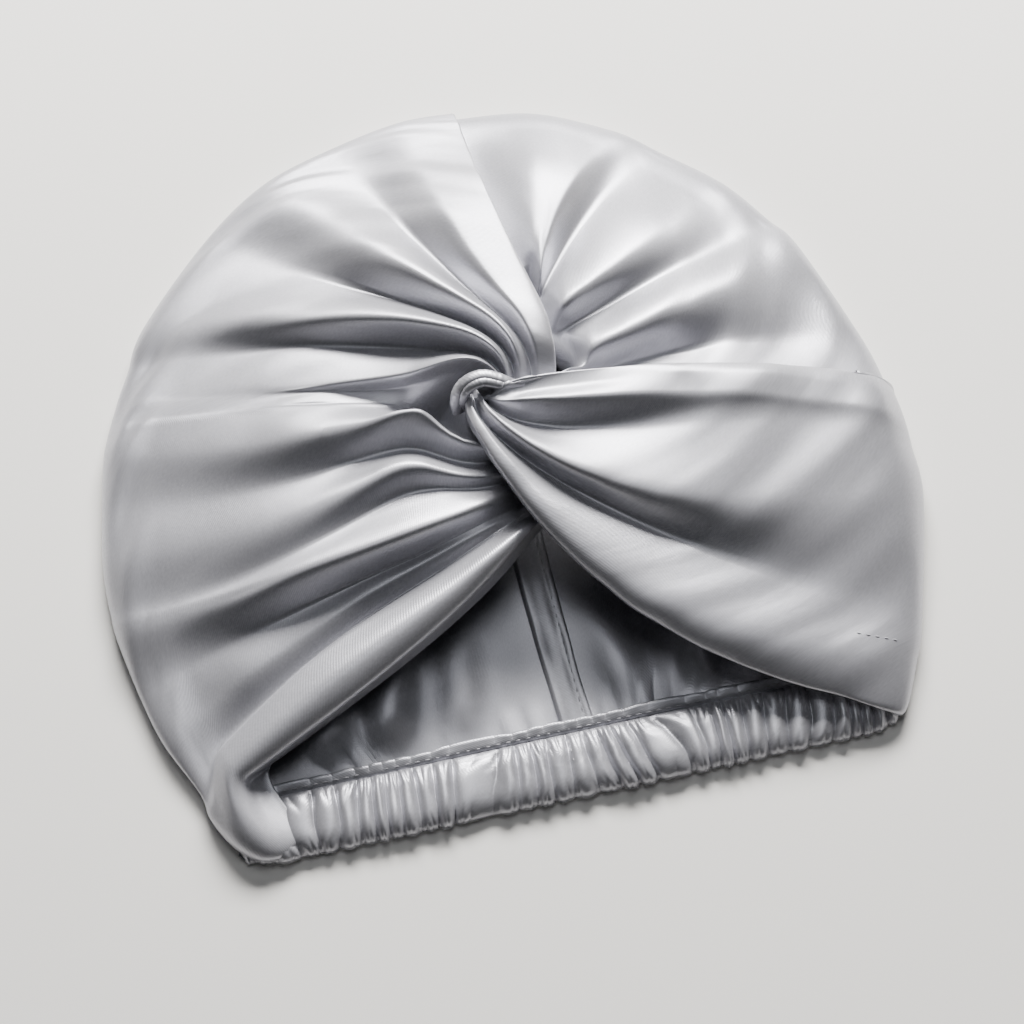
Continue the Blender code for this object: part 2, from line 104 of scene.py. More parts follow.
LEFT_FOLDS = {
    "hem lining":   (234.6, 0, 10.6, 286, 0.300, 0.930, 1.0, 0.34, 0.40, 0.34, 0.25, 0.15, 0.0),
    "hem turn":     (233.8, 0, 10.5, 286, 0.297, 0.972, 1.0, 0.40, 0.48, 0.43, 0.34, 0.21, 0.0),
    "hem edge":     (231.6, 0, 8.8, 286, 0.295, 1.008, 1.0, 0.45, 0.555, 0.53, 0.44, 0.325, 0.3),
    "hem strand":   (228.2, -6, 5.9, 283, 0.295, 1.022, 1.2, 0.45, 0.605, 0.59, 0.50, 0.385, 0.0),
    "hem brow":     (224.3, -4, 4.5, 279.5, 0.280, 1.016, 1.7, 0.44, 0.53, 0.49, 0.40, 0.29, 0.0),
    "hem foot":     (221.3, -4, 2.4, 278, 0.272, 0.997, 1.7, 0.44, 0.50, 0.42, 0.31, 0.19, 0.5),
    "skirt crest":  (214.0, -3, 0.0, 274.5, 0.264, 1.000, 1.7, 0.44, 0.53, 0.48, 0.39, 0.27, 0.0),
    "hem valley":   (207.5, 0, 0.0, 271, 0.258, 0.997, 1.6, 0.44, 0.53, 0.46, 0.37, 0.27, 0.4),
    "D3 crest":     (199.0, 7, 0.0, 267, 0.235, 1.000, 1.4, 0.58, 0.68, 0.71, 0.58, 0.41, 0.0),
    "D3 pocket":    (195.0, 22, 0.0, 266, 0.205, 1.000, 6.0, 0.54, 0.59, 0.58, 0.51, 0.38, 0.4),
    "D2 crest":     (188.5, 20, 0.0, 264, 0.190, 1.000, 7.5, 0.62, 0.73, 0.70, 0.58, 0.42, 0.0),
    "D1 valley":    (179.5, 17, 0.0, 257, 0.150, 0.995, 7.0, 0.56, 0.58, 0.59, 0.50, 0.37, 0.3),
    "D1 crest":     (171.3, 13, 0.0, 250, 0.126, 1.000, 10.0, 0.72, 0.84, 0.77, 0.62, 0.43, 0.0),
    "hollow":       (168.0, 0, 0.0, 222, 0.074, 0.999, 4.0, 0.34, 0.34, 0.58, 0.57, 0.41, 0.0),
    "A5 drop":      (165.6, 1, 0.0, 130, 0.060, 0.997, 2.0, 0.50, 0.44, 0.56, 0.54, 0.39, 0.0),
    "A4 foot":      (163.0, 3, 0.0, 40, 0.036, 0.995, 1.3, 0.76, 0.76, 0.59, 0.53, 0.37, 0.1),
    "A4 crest":     (160.2, 5, 0.0, -12, 0.032, 0.994, 1.3, 0.84, 0.95, 0.75, 0.55, 0.35, 0.0),
    "A4 valley":    (156.0, -4, 0.0, -11, 0.036, 0.992, 0.8, 0.76, 0.78, 0.62, 0.48, 0.33, 0.9),
    "A3 crest":     (148.0, -4, 0.0, -17, 0.044, 1.000, 0.9, 0.79, 0.96, 0.90, 0.69, 0.42, 0.0),
    "A3 crease":    (129.0, 15, 0.0, -5, 0.060, 0.994, 0.7, 0.76, 0.80, 0.70, 0.54, 0.35, 0.9),
    "A2 crest":     (116.0, 9, 0.0, -6, 0.079, 1.000, 1.1, 0.79, 0.97, 0.92, 0.75, 0.47, 0.0),
    "A2 valley":    (103.0, 4, 0.0, -4, 0.105, 0.994, 1.5, 0.75, 0.80, 0.72, 0.58, 0.37, 0.9),
    "A1 crest":     (91.5, 4, 0.0, -6, 0.121, 1.000, 1.7, 0.78, 0.98, 0.92, 0.78, 0.48, 0.0),
    "A1 edge":      (83.3, 0, 0.0, -5, 0.158, 1.000, 1.7, 0.76, 0.92, 0.88, 0.77, 0.47, 0.8),
    "seam":         (85.0, 0, 0.0, -7, 0.160, 0.990, 1.7, 0.54, 0.54, 0.51, 0.46, 0.31, 0.3),
}

RIGHT_FOLDS = {
    "seam":         (86.0, 0, 0.0, 10, 0.181, 0.990, 1.5, 0.60, 0.64, 0.60, 0.50, 0.31, 0.3),
    "C4 crest":     (71.0, -9, 0.0, 62, 0.400, 1.000, 0.8, 0.60, 0.68, 0.68, 0.60, 0.43, 0.0),
    "C3 crest":     (57.0, 9, 0.0, 56, 0.345, 1.000, 1.9, 0.60, 0.72, 0.71, 0.62, 0.45, 0.0),
    "C3 valley":    (48.8, 12, 0.0, 54, 0.325, 0.995, 1.0, 0.56, 0.58, 0.54, 0.48, 0.36, 0.7),
    "C2 crest":     (37.0, -13, 0.0, 42, 0.262, 1.000, 0.2, 0.62, 0.80, 0.78, 0.67, 0.49, 0.1),
    "C2 pocket":    (27.5, -11, 0.0, 35, 0.250, 0.998, 0.2, 0.60, 0.62, 0.60, 0.58, 0.45, 0.4),
    "C1 crest":     (21.0, -8, 0.0, 14, 0.238, 1.000, 2.5, 0.60, 0.78, 0.78, 0.70, 0.52, 0.0),
    "C1 valley":    (2.5, 9, 0.0, 5, 0.208, 0.990, 1.0, 0.80, 0.64, 0.56, 0.48, 0.38, 0.4),
    "B wall":       (-7.3, 5, 0.0, -8, 0.105, 0.990, 1.0, 0.86, 0.78, 0.70, 0.60, 0.48, 0.0),
    "B top edge":   (-5.5, 5, 0.0, -15, 0.045, 0.998, 3.0, 0.93, 0.92, 0.87, 0.74, 0.58, 0.6),
    "B pocket":     (-8.5, 7, 0.0, -46, 0.040, 1.000, 1.0, 0.90, 0.88, 0.86, 0.79, 0.62, 0.0),
    "B3 crest":     (-11.5, 9, 0.0, -84, 0.036, 1.000, 0.7, 0.88, 0.94, 0.91, 0.78, 0.62, 0.2),
    "B3 valley":    (-15.0, 18, 0.0, -98, 0.036, 0.998, 0.25, 0.80, 0.78, 0.75, 0.70, 0.58, 0.2),
    "B2 crest":     (-22.2, -12, 0.0, -118, 0.038, 1.000, 0.25, 0.88, 0.92, 0.86, 0.72, 0.58, 0.0),
    "B2 valley":    (-38.5, -8, 0.0, -152, 0.042, 0.998, 0.7, 0.80, 0.77, 0.68, 0.52, 0.42, 0.8),
    "hem strand":   (-43.4, -35, 0.0, -163, 0.046, 1.004, 1.1, 0.84, 0.89, 0.80, 0.58, 0.46, 0.0),
    "hem edge":     (-49.3, -34, -0.7, -172, 0.056, 1.012, 1.2, 0.80, 0.87, 0.76, 0.50, 0.33, 0.3),
    "hem turn":     (-50.6, -34, -2.6, -170, 0.058, 0.970, 1.2, 0.74, 0.79, 0.67, 0.41, 0.25, 0.0),
    "hem lining":   (-51.4, -34, -5.4, -165, 0.062, 0.930, 1.2, 0.70, 0.75, 0.63, 0.38, 0.20, 0.0),
}

# Folds that lie on the back's inner face: x at the band, x at the top, y of the top,
# half width and height, in metres.
BACK_FOLDS = [
    (-0.086, -0.064, -0.020, 0.0105, 0.0060),
    (-0.062, -0.046, -0.030, 0.0090, 0.0068),
    (-0.036, -0.030, -0.035, 0.0080, 0.0032),
    (0.026, 0.022, -0.050, 0.0085, 0.0030),
    (0.050, 0.062, -0.050, 0.0065, 0.0062),
    (0.068, 0.076, -0.060, 0.0060, 0.0052),
    (0.090, 0.092, -0.060, 0.0070, 0.0045),
]

# Small pleats on the back's inner face, beside the band
PLEAT_PITCH = 0.0088
PLEAT_HEIGHT = 0.0016
REST_GAP = 0.0002             # from the surface to the back's lower face


def lattice(a, b, seed):
    """A fixed value from -1 to 1 for each point of a whole-number grid."""
    h = (a * 374761393 + b * 668265263 + seed * 974634777) & 0xFFFFFFFF
    h = ((h ^ (h >> 13)) * 1274126177) & 0xFFFFFFFF
    return ((h ^ (h >> 16)) & 0xFFFF) / 32767.5 - 1


def noise(x, y, seed):
    """Smooth noise from -1 to 1."""
    x, y = np.broadcast_arrays(np.asarray(x, float), np.asarray(y, float))
    a = np.floor(x).astype(np.int64)
    b = np.floor(y).astype(np.int64)
    u = x - a
    v = y - b
    u = u * u * (3 - 2 * u)
    v = v * v * (3 - 2 * v)
    low = lattice(a, b, seed) * (1 - u) + lattice(a + 1, b, seed) * u
    high = lattice(a, b + 1, seed) * (1 - u) + lattice(a + 1, b + 1, seed) * u
    return low * (1 - v) + high * v


def smooth(low, high, x):
    """A smooth step from 0 at low to 1 at high."""
    u = np.clip((x - low) / (high - low), 0, 1)
    return u * u * (3 - 2 * u)


def rim_distance(degrees):
    """Distance from the knot to the rounded outline, in one direction."""
    x, y = math.cos(math.radians(degrees)), math.sin(math.radians(degrees))
    height = CROWN_RISE if y * HALF_WIDTH > -KNOT_RISE else SKIRT_DROP
    a = (x / HALF_WIDTH) ** 2 + (y / height) ** 2
    b = 2 * (KNOT[0] * x / HALF_WIDTH ** 2 + KNOT_RISE * y / height ** 2)
    c = (KNOT[0] / HALF_WIDTH) ** 2 + (KNOT_RISE / height) ** 2 - 1
    return (-b + math.sqrt(b * b - 4 * a * c)) / (2 * a)


def through(values, at):
    """Smooth curve through the heights at STATIONS."""
    values = np.append(values, values[-1])
    i = np.clip(np.searchsorted(STATIONS, at, side="right") - 1, 0, len(STATIONS) - 2)
    low, high = np.maximum(i - 1, 0), np.minimum(i + 2, len(STATIONS) - 1)
    span = STATIONS[i + 1] - STATIONS[i]
    slope_a = (values[i + 1] - values[low]) / (STATIONS[i + 1] - STATIONS[low])
    slope_b = (values[high] - values[i]) / (STATIONS[high] - STATIONS[i])
    slope_b = np.where(i == len(STATIONS) - 2, 0.0, slope_b)
    u = (at - STATIONS[i]) / span
    rise = values[i + 1] - values[i]
    cubic = (slope_a + slope_b) * span - 2 * rise
    square = 3 * rise - (2 * slope_a + slope_b) * span
    return values[i] + u * (slope_a * span + u * (square + u * cubic))


def fold_line(row, t):
    """Points of one fold line on the front's outer face."""
    start = row["start"] * HALF_WIDTH
    end = row["reach"] * rim_distance(row["rim"])
    r = start + (end - start) * t
    far_turn = (start / end) ** row["curl"]
    turn = ((start / r) ** row["curl"] - far_turn) / (1 - far_turn)
    rim = row["rim"] - row["flare"]
    angle = rim + row["bend"] * (1 - t) + (row["knot"] - rim - row["bend"]) * turn
    angle = np.radians(angle + row["flare"] * smooth(FLARE_FROM, 1.0, t))
    heights = np.array([row[key] for key in HEIGHTS])
    height = KNOT_HEIGHT * through(heights, t)
    dome = np.sqrt(np.maximum(0, 1 - t ** RIM_DROP))
    return np.stack([KNOT[0] + r * np.cos(angle), KNOT[1] + r * np.sin(angle),
                     RIM_ROLL + (height - RIM_ROLL) * dome], axis=1)


def slope_at(before, here, after):
    """Slope between two neighbouring lines, kept small beside a narrow gap, so nothing folds back."""
    slope = (after - before) / 2
    narrow = np.minimum(np.linalg.norm((here - before)[:, :2], axis=1),
                        np.linalg.norm((after - here)[:, :2], axis=1))
    long = np.maximum(np.linalg.norm(slope[:, :2], axis=1), 1e-9)
    return slope * np.minimum(1, 2 * narrow / long)[:, None]


def steepness(step, other):
    """How steeply a height passes a line, against its own step. 0 at a crest or in a valley."""
    same = step * other > 0
    return np.where(same, 2 * other / np.where(same, step + other, 1), 0)


def across(lines, creases, t):
    """The surface between neighbouring fold lines: rows of points from the knot to the rim."""
    count = lines.shape[1]
    steps = np.diff(lines[:, :, 2], axis=1)
    fade = 1 - CREASE_FADE * smooth(0.30, 0.85, t)
    parts = []
    for i in range(count - 1):
        before = lines[:, max(i - 1, 0)]
        a = lines[:, i]
        b = lines[:, i + 1]
        after = lines[:, min(i + 2, count - 1)]
        slope_a = slope_at(before, a, b) if i > 0 else b - a
        slope_b = slope_at(a, b, after) if i < count - 2 else b - a
        square = 3 * (b - a) - 2 * slope_a - slope_b
        cubic = slope_a + slope_b - 2 * (b - a)
        ca = CREASE * creases[i] * fade
        cb = CREASE * creases[i + 1] * fade
        if i > 0:
            ca = np.maximum(ca, steepness(steps[:, i], steps[:, i - 1]))
        if i < count - 2:
            cb = np.maximum(cb, steepness(steps[:, i], steps[:, i + 1]))
        for k in range(COLUMNS):
            u = k / COLUMNS
            point = a + u * (slope_a + u * (square + u * cubic))
            share = u * (ca + u * (3 - 2 * ca - cb + u * (ca + cb - 2)))
            point[:, 2] = a[:, 2] + (b[:, 2] - a[:, 2]) * share
            parts.append(point)
    parts.append(lines[:, -1].copy())
    return np.stack(parts, axis=1)


def tuck(lines, lengths):
    """The lines again, with their hidden starts, which go on under the cloth that covers them."""
    ahead = lines[2] - lines[0]
    ahead = ahead / np.maximum(np.linalg.norm(ahead, axis=1), 1e-6)[:, None]
    ahead[:, 2] = np.clip(ahead[:, 2], TUCK_SLOPE, 1.0)
    extra = []
    for k in range(TUCK_ROWS, 0, -1):
        way = lengths * k / TUCK_ROWS
        row = lines[0] - ahead * way[:, None]
        row[:, 2] -= TUCK_SAG * way * way / lengths
        extra.append(row)
    return np.concatenate([np.stack(extra), lines])


def normals(grid):
    """Unit normals of a grid of points."""
    along = np.gradient(grid, axis=0)
    over = np.gradient(grid, axis=1)
    n = np.cross(over, along)
    return n / np.maximum(np.linalg.norm(n, axis=2, keepdims=True), 1e-9)


def arc(grid, axis):
    """Length along a grid's rows or columns, from its first points."""
    step = np.linalg.norm(np.diff(grid, axis=axis), axis=2)
    pad = [(0, 0), (0, 0)]
    pad[axis] = (1, 0)
    return np.cumsum(np.pad(step, pad), axis=axis)


def back_lift(x, y):
    """Height of the back's lower face above the surface that it lies on."""
    lift = np.zeros_like(x)
    for low_x, high_x, high_y, half, height in BACK_FOLDS:
        share = (y - BAND_TOP_Y) / (high_y - BAND_TOP_Y)
        line = low_x + (high_x - low_x) * share + 0.0015 * np.sin(40 * y + 60 * low_x)
        wide = half * (0.7 + 0.8 * np.clip(share, 0, 1))
        up = smooth(1.0, 0.35, share)
        lift += height * up * np.exp(-((x - line) / wide) ** 2)
    lift *= 0.12 + 0.88 * smooth(0.004, 0.018, y - BAND_TOP_Y)
    near = smooth(0.016, 0.001, y - BAND_TOP_Y)
    phase = x / PLEAT_PITCH + 0.9 * noise(x / 0.02, y / 0.03, 3)
    pleat = np.abs(np.sin(math.pi * phase)) ** 0.7
    lift += PLEAT_HEIGHT * near * pleat * (0.6 + 0.4 * noise(x / 0.015, 0, 5))
    calm = smooth(0.0, 0.012, np.abs(x)) * smooth(0.128, 0.100, np.abs(x))
    return np.maximum(REST_GAP, lift * calm + REST_GAP)


def back_path(share, side):
    """Plan of the back's lower edge, from beside the band's end round to the middle."""
    beside = BAND_TALL - CORNER_LOW
    middle_way = BAND_LENGTH / 2 + CORNER_GAP
    way = share * (beside + middle_way)
    x = np.where(way < beside, middle_way, middle_way - (way - beside))
    y = np.where(way < beside, BAND_TOP_Y - beside + way, BAND_TOP_Y)
    return side * x, y - 0.001


def grid_index(grid, first=0):
    """Vertex numbers of a grid of points, counted from first."""
    return first + np.arange(grid.shape[0] * grid.shape[1]).reshape(grid.shape[:2])


def grid_faces(index):
    """Four-sided faces between neighbouring rows and columns of vertex numbers."""
    a, b = index[:-1, :-1], index[:-1, 1:]
    c, d = index[1:, 1:], index[1:, :-1]
    return np.stack([a, b, c, d], axis=-1).reshape(-1, 4)


def make_object(name, points, faces, uv, material):
    """A smooth mesh object, with UVs in metres of cloth."""
    mesh = bpy.data.meshes.new(name)
    faces = np.asarray(faces)
    mesh.vertices.add(len(points))
    mesh.vertices.foreach_set("co", np.asarray(points, np.float32).ravel())
    mesh.loops.add(faces.size)
    mesh.loops.foreach_set("vertex_index", faces.astype(np.int32).ravel())
    mesh.polygons.add(len(faces))
    mesh.polygons.foreach_set("loop_start", np.arange(0, faces.size, faces.shape[1], dtype=np.int32))
    mesh.update(calc_edges=True)
    mesh.validate()
    layer = mesh.uv_layers.new(name="cloth")
    layer.uv.foreach_set("vector", np.asarray(uv, np.float32)[faces.ravel()].ravel())
    mesh.shade_smooth()
    mesh.materials.append(material)
    item = bpy.data.objects.new(name, mesh)
    bpy.context.scene.collection.objects.link(item)
    return item


def grid_object(name, grid, material, flip=False):
    """A sheet through a grid of points."""
    faces = grid_faces(grid_index(grid))
    if flip:
        faces = faces[:, ::-1]
    uv = np.stack([arc(grid, 1).ravel(), arc(grid, 0).ravel()], 1)
    return make_object(name, grid.reshape(-1, 3), faces, uv, material)


def thicken(item):
    """Give a sheet the cloth's thickness, on its inner side."""
    wall = item.modifiers.new("wall", "SOLIDIFY")
    wall.thickness = CLOTH
    wall.offset = -1


# Panels

def wrinkles(front, u, v, t, hem_first, seed):
    """How far small wrinkles, and broad dents away from the hem, move the front's points."""
    n = normals(front)
    ease = smooth(0.0, 0.10, t)[:, None] * smooth(1.0, 0.93, t)[:, None]
    wide, long, high = WRINKLE
    height = high * noise(u / wide, v / long, seed)
    wide, long, high = FINE_WRINKLE
    height += high * noise(u / wide, v / long, seed + 1)
    column = np.arange(front.shape[1])
    from_hem = column if hem_first else column[-1] - column
    inside = smooth(3 * COLUMNS, 7.5 * COLUMNS, from_hem)
    inside = inside * smooth(0, 2 * COLUMNS, column[-1] - from_hem)
    broad = smooth(0.20, 0.55, t)[:, None] * inside * np.clip(n[:, :, 2], 0, 1) ** 3
    drift = 0.6 * noise(u / DENT_DRIFT, v / DENT_DRIFT, seed + 3)
    wide, long, high = DENT
    height += high * broad * noise(u / wide, v / long + drift, seed + 2)
    return n * (height * ease)[:, :, None]


def rim_and_back(rim, side):
    """The rows that follow the front's rim: round the rolled edge, then over the back."""
    away = rim[:, :2] - KNOT
    away /= np.linalg.norm(away, axis=1)[:, None]
    rows = []
    for k in range(1, ROLL_STEPS + 1):
        angle = 0.5 * math.pi * k / ROLL_STEPS
        row = rim.copy()
        row[:, :2] -= away * RIM_ROLL * (1 - math.cos(angle))
        row[:, 2] = rim[:, 2] - RIM_ROLL * math.sin(angle)
        rows.append(row)
    edge = rows[-1]
    steps = np.linalg.norm(np.diff(edge[:, :2], axis=0), axis=1)
    share = np.concatenate(([0.0], np.cumsum(steps))) / steps.sum()
    if side > 0:
        share = 1 - share
    end_x, end_y = back_path(share, side)
    for k in range(1, BACK_ROWS + 1):
        part = k / BACK_ROWS
        row = edge.copy()
        row[:, 0] = edge[:, 0] + (end_x - edge[:, 0]) * part
        row[:, 1] = edge[:, 1] + (end_y - edge[:, 1]) * part
        row[:, 2] = back_lift(row[:, 0], row[:, 1]) * smooth(0.0, 0.08, part)
        rows.append(row)
    return np.stack(rows)


def panel(name, table, side, hem_first, material, seed):
    """One half of the crown as a single sheet: front, rim and back."""
    rows = [dict(zip(FIELDS, row)) for row in table.values()]
    t = np.sin(0.5 * math.pi * np.arange(ROWS + 1) / ROWS) ** 1.15
    lines = np.stack([fold_line(row, t) for row in rows], axis=1)
    lengths = np.full(len(rows), TUCK)
    if side > 0:
        lines[:, 0] = fold_line(rows[0], SEAM_MEET + (1 - SEAM_MEET) * t)
        lengths[:len(RIGHT_TUCK)] = TUCK * np.array(RIGHT_TUCK)
    lines = tuck(lines, lengths)
    t = np.concatenate((np.zeros(TUCK_ROWS), t))
    front = across(lines, [row["crease"] for row in rows], t)
    u = arc(front, 1)
    v = arc(front, 0)
    front += wrinkles(front, u, v, t, hem_first, seed)
    hem = HEM_LINES * COLUMNS
    cut = slice(hem, None) if hem_first else slice(0, front.shape[1] - hem)
    rest = rim_and_back(front[-1, cut], side)
    front_index = grid_index(front)
    joined = np.vstack([front_index[-1:, cut], grid_index(rest, front_index.size)])
    faces = np.vstack([grid_faces(front_index), grid_faces(joined)])
    points = np.vstack([front.reshape(-1, 3), rest.reshape(-1, 3)])
    far_v = v[-1, cut] + arc(np.concatenate([front[-1:, cut], rest]), 0)[1:]
    far_u = np.broadcast_to(u[-1, cut], far_v.shape)
    uv = np.vstack([np.stack([u.ravel(), v.ravel()], 1),
                    np.stack([far_u.ravel(), far_v.ravel()], 1)])
    item = make_object(name, points, faces, uv, material)
    thicken(item)
    return item


# Materials

def new_material(name, values):
    """A material and its shader, with some of the shader's inputs set."""
    material = bpy.data.materials.new(name)
    material.use_nodes = True
    shader = material.node_tree.nodes["Principled BSDF"]
    for key, value in values.items():
        shader.inputs[key].default_value = value
    return material, shader


def add_node(nodes, kind, values):
    """A new shader node with some of its inputs set."""
    item = nodes.new("ShaderNode" + kind)
    for key, value in values.items():
        item.inputs[key].default_value = value
    return item


def satin(name, colour, weave=1.0):
    """Silver-grey satin: soft sheen, fine twill grain, slight mottling."""
    material, shader = new_material(name, {
        "Metallic": 0.55, "Specular IOR Level": 0.5, "Sheen Weight": 0.15,
        "Sheen Roughness": 0.4, "Anisotropic": 0.35})
    nodes = material.node_tree.nodes
    links = material.node_tree.links
    place = nodes.new("ShaderNodeUVMap")
    place.uv_map = "cloth"
    mottle = add_node(nodes, "TexNoise", {"Scale": 22, "Detail": 3})
    fine = add_node(nodes, "TexNoise", {"Scale": 900, "Detail": 2})
    crumple = add_node(nodes, "TexNoise", {"Scale": 110, "Detail": 3})
    twill = add_node(nodes, "TexWave", {"Scale": 520, "Distortion": 0.6, "Detail": 1})
    twill.bands_direction = "DIAGONAL"
    for pattern in (mottle, fine, crumple, twill):
        links.new(place.outputs["UV"], pattern.inputs["Vector"])
    tint = nodes.new("ShaderNodeValToRGB")
    tint.color_ramp.elements[0].position = 0.3
    tint.color_ramp.elements[1].position = 0.7
    tint.color_ramp.elements[0].color = [c * 0.93 for c in colour] + [1]
    tint.color_ramp.elements[1].color = [min(1, c * 1.05) for c in colour] + [1]
    links.new(mottle.outputs["Fac"], tint.inputs["Fac"])
    grain = nodes.new("ShaderNodeMix")
    grain.data_type = "RGBA"
    grain.blend_type = "OVERLAY"
    grain.inputs["Factor"].default_value = 0.18
    links.new(tint.outputs["Color"], grain.inputs["A"])
    links.new(fine.outputs["Fac"], grain.inputs["B"])
    links.new(grain.outputs["Result"], shader.inputs["Base Color"])
    rough = add_node(nodes, "MapRange", {"To Min": 0.34, "To Max": 0.44})
    links.new(mottle.outputs["Fac"], rough.inputs["Value"])
    links.new(rough.outputs["Result"], shader.inputs["Roughness"])
    bump = add_node(nodes, "Bump", {"Strength": 0.22 * weave, "Distance": 0.00012})
    soft = add_node(nodes, "Bump", {"Strength": 0.15, "Distance": 0.0006})
    links.new(twill.outputs["Fac"], bump.inputs["Height"])
    links.new(crumple.outputs["Fac"], soft.inputs["Height"])
    links.new(bump.outputs["Normal"], soft.inputs["Normal"])
    links.new(soft.outputs["Normal"], shader.inputs["Normal"])
    return material


def thread(name, colour):
    """Sewing thread, a little uneven in tone."""
    material, shader = new_material(name, {"Roughness": 0.5})
    nodes = material.node_tree.nodes
    links = material.node_tree.links
    place = nodes.new("ShaderNodeTexCoord")
    uneven = add_node(nodes, "TexNoise", {"Scale": 1500})
    tint = nodes.new("ShaderNodeValToRGB")
    tint.color_ramp.elements[0].color = [c * 0.8 for c in colour] + [1]
    tint.color_ramp.elements[1].color = list(colour) + [1]
    links.new(place.outputs["Object"], uneven.inputs["Vector"])
    links.new(uneven.outputs["Fac"], tint.inputs["Fac"])
    links.new(tint.outputs["Color"], shader.inputs["Base Color"])
    return material


SATIN = satin("satin", (0.485, 0.485, 0.525))
SATIN_BAND = satin("satin_band", (0.435, 0.435, 0.47), 0.8)
SATIN_SEAM = satin("satin_seam", (0.44, 0.44, 0.475), 0.8)
THREAD = thread("thread", (0.42, 0.42, 0.45))

# The crown's two halves

left = panel("left_panel_cloth", LEFT_FOLDS, -1, True, SATIN, 11)
right = panel("right_panel_cloth", RIGHT_FOLDS, 1, False, SATIN, 23)


# Tab end of the left half that loops over the knot. Its path is given by distance from the knot in
# mm, direction in degrees and height in mm, and its half width in metres at the same points.

LOOP_PATH = [(10.5, -9, 42.0), (6.6, -6, 44.6), (3.0, 16, 46.0), (2.6, 125, 46.8), (6.6, 164, 45.6),
             (9.4, 176, 42.6), (10.8, 184, 38.4), (10.8, 189, 33.0)]
LOOP_HALF = [0.0016, 0.0020, 0.0023, 0.0025, 0.0026, 0.0026, 0.0023, 0.0020]
LOOP_STEPS = 60
LOOP_SIDES = 22
LOOP_ROUND = 0.38             # height as a share of the half width
LOOP_DENT = 0.00055
MM = 0.001


def loop():
    """Folded strap: a path over the knot with a rounded section, creased along one side."""
    knots = np.array([(KNOT[0] + r * MM * math.cos(math.radians(a)),
                       KNOT[1] + r * MM * math.sin(math.radians(a)), z * MM)
                      for r, a, z in LOOP_PATH])
    way = np.linspace(0, len(knots) - 1, LOOP_STEPS + 1)
    spot = np.clip(way.astype(int), 0, len(knots) - 2)
    f = (way - spot)[:, None]
    before = knots[np.maximum(spot - 1, 0)]
    after = knots[np.minimum(spot + 2, len(knots) - 1)]
    a, b = knots[spot], knots[spot + 1]
    path = a + 0.5 * f * (b - before + f * (2 * before - 5 * a + 4 * b - after
                                            + f * (3 * (a - b) + after - before)))
    ahead = np.gradient(path, axis=0)
    ahead /= np.linalg.norm(ahead, axis=1)[:, None]
    across_way = np.cross(ahead, (0, 0, 1.0))
    across_way /= np.linalg.norm(across_way, axis=1)[:, None]
    up = np.cross(across_way, ahead)
    half = np.interp(way, range(len(LOOP_HALF)), LOOP_HALF)
    rows = []
    for k in range(LOOP_SIDES + 1):
        angle = math.pi * (1.18 * k / LOOP_SIDES - 0.09)
        wide = math.cos(angle)
        dent = LOOP_DENT * math.exp(-((wide + 0.25) / 0.16) ** 2)
        high = LOOP_ROUND * math.sin(angle)
        rows.append(path + across_way * (half * wide)[:, None] + up * (half * high - dent)[:, None])
    grid = np.stack(rows, axis=1)
    uneven = 0.00012 * noise(way * 0.5, np.arange(LOOP_STEPS + 1), 97)
    grid += normals(grid) * uneven[:, None, None]
    item = grid_object("twist_loop", grid, SATIN)
    thicken(item)
    return item


twist_loop = loop()


# Nape band

GATHERS = 31
BAND_COLUMNS = 900
BAND_RINGS = 28
BAND_MORE = (0.010, 0.005)    # the band's cloth goes on inside the left and right hems' ends
OUTER_SHARE = 0.78            # of the rings. The others go back underneath.
STITCH_HEIGHT = 0.0030        # of the casing's cloth at its stitches
LOWER_HEIGHT = 0.0016         # and at its lower edge
GATHER_DEPTH = 0.0031
EDGE_WAVE = 0.0016
# Section of the frill: distance above the casing's top, and height
FRILL_PROFILE = [(-0.0012, 0.0020), (-0.0004, 0.0034), (0.0004, 0.0039), (0.0012, 0.0041),
                 (0.0022, 0.0044), (0.0031, 0.0045), (0.0036, 0.0041),
                 (0.0036, 0.0034), (0.0026, 0.0028), (0.0, 0.0018)]


def gather_phase(x, v):
    """Which gather a place on the band is in. v runs from the top, 0, to the lower edge, 1."""
    s = (x / BAND_LENGTH + 0.5) * GATHERS
    s = s + 0.8 * noise(s * 0.42, 0.0, 31) + 0.16 * noise(s * 0.9, v * 1.8, 37)
    return s + 0.9 * (v - 0.5) * noise(s * 0.35, 0.0, 41)


def gather_height(x, v):
    """Pillows between cusped creases, with short creases at the stitched and lower edges."""
    s = gather_phase(x, v)
    pillow = np.abs(np.sin(math.pi * s)) ** 0.62
    keep = 0.72 + 0.28 * noise(np.floor(s), 0.0, 43)
    fine = 1 - np.abs(np.sin(math.pi * (2.1 * s + 0.9 * noise(s * 0.8, v * 2, 47)))) ** 0.7
    ends = smooth(0.42, 0.02, v) + 0.7 * smooth(0.68, 1.0, v)
    return pillow * keep - 0.38 * fine * ends + 0.10 * noise(s * 1.4, v * 3, 49)


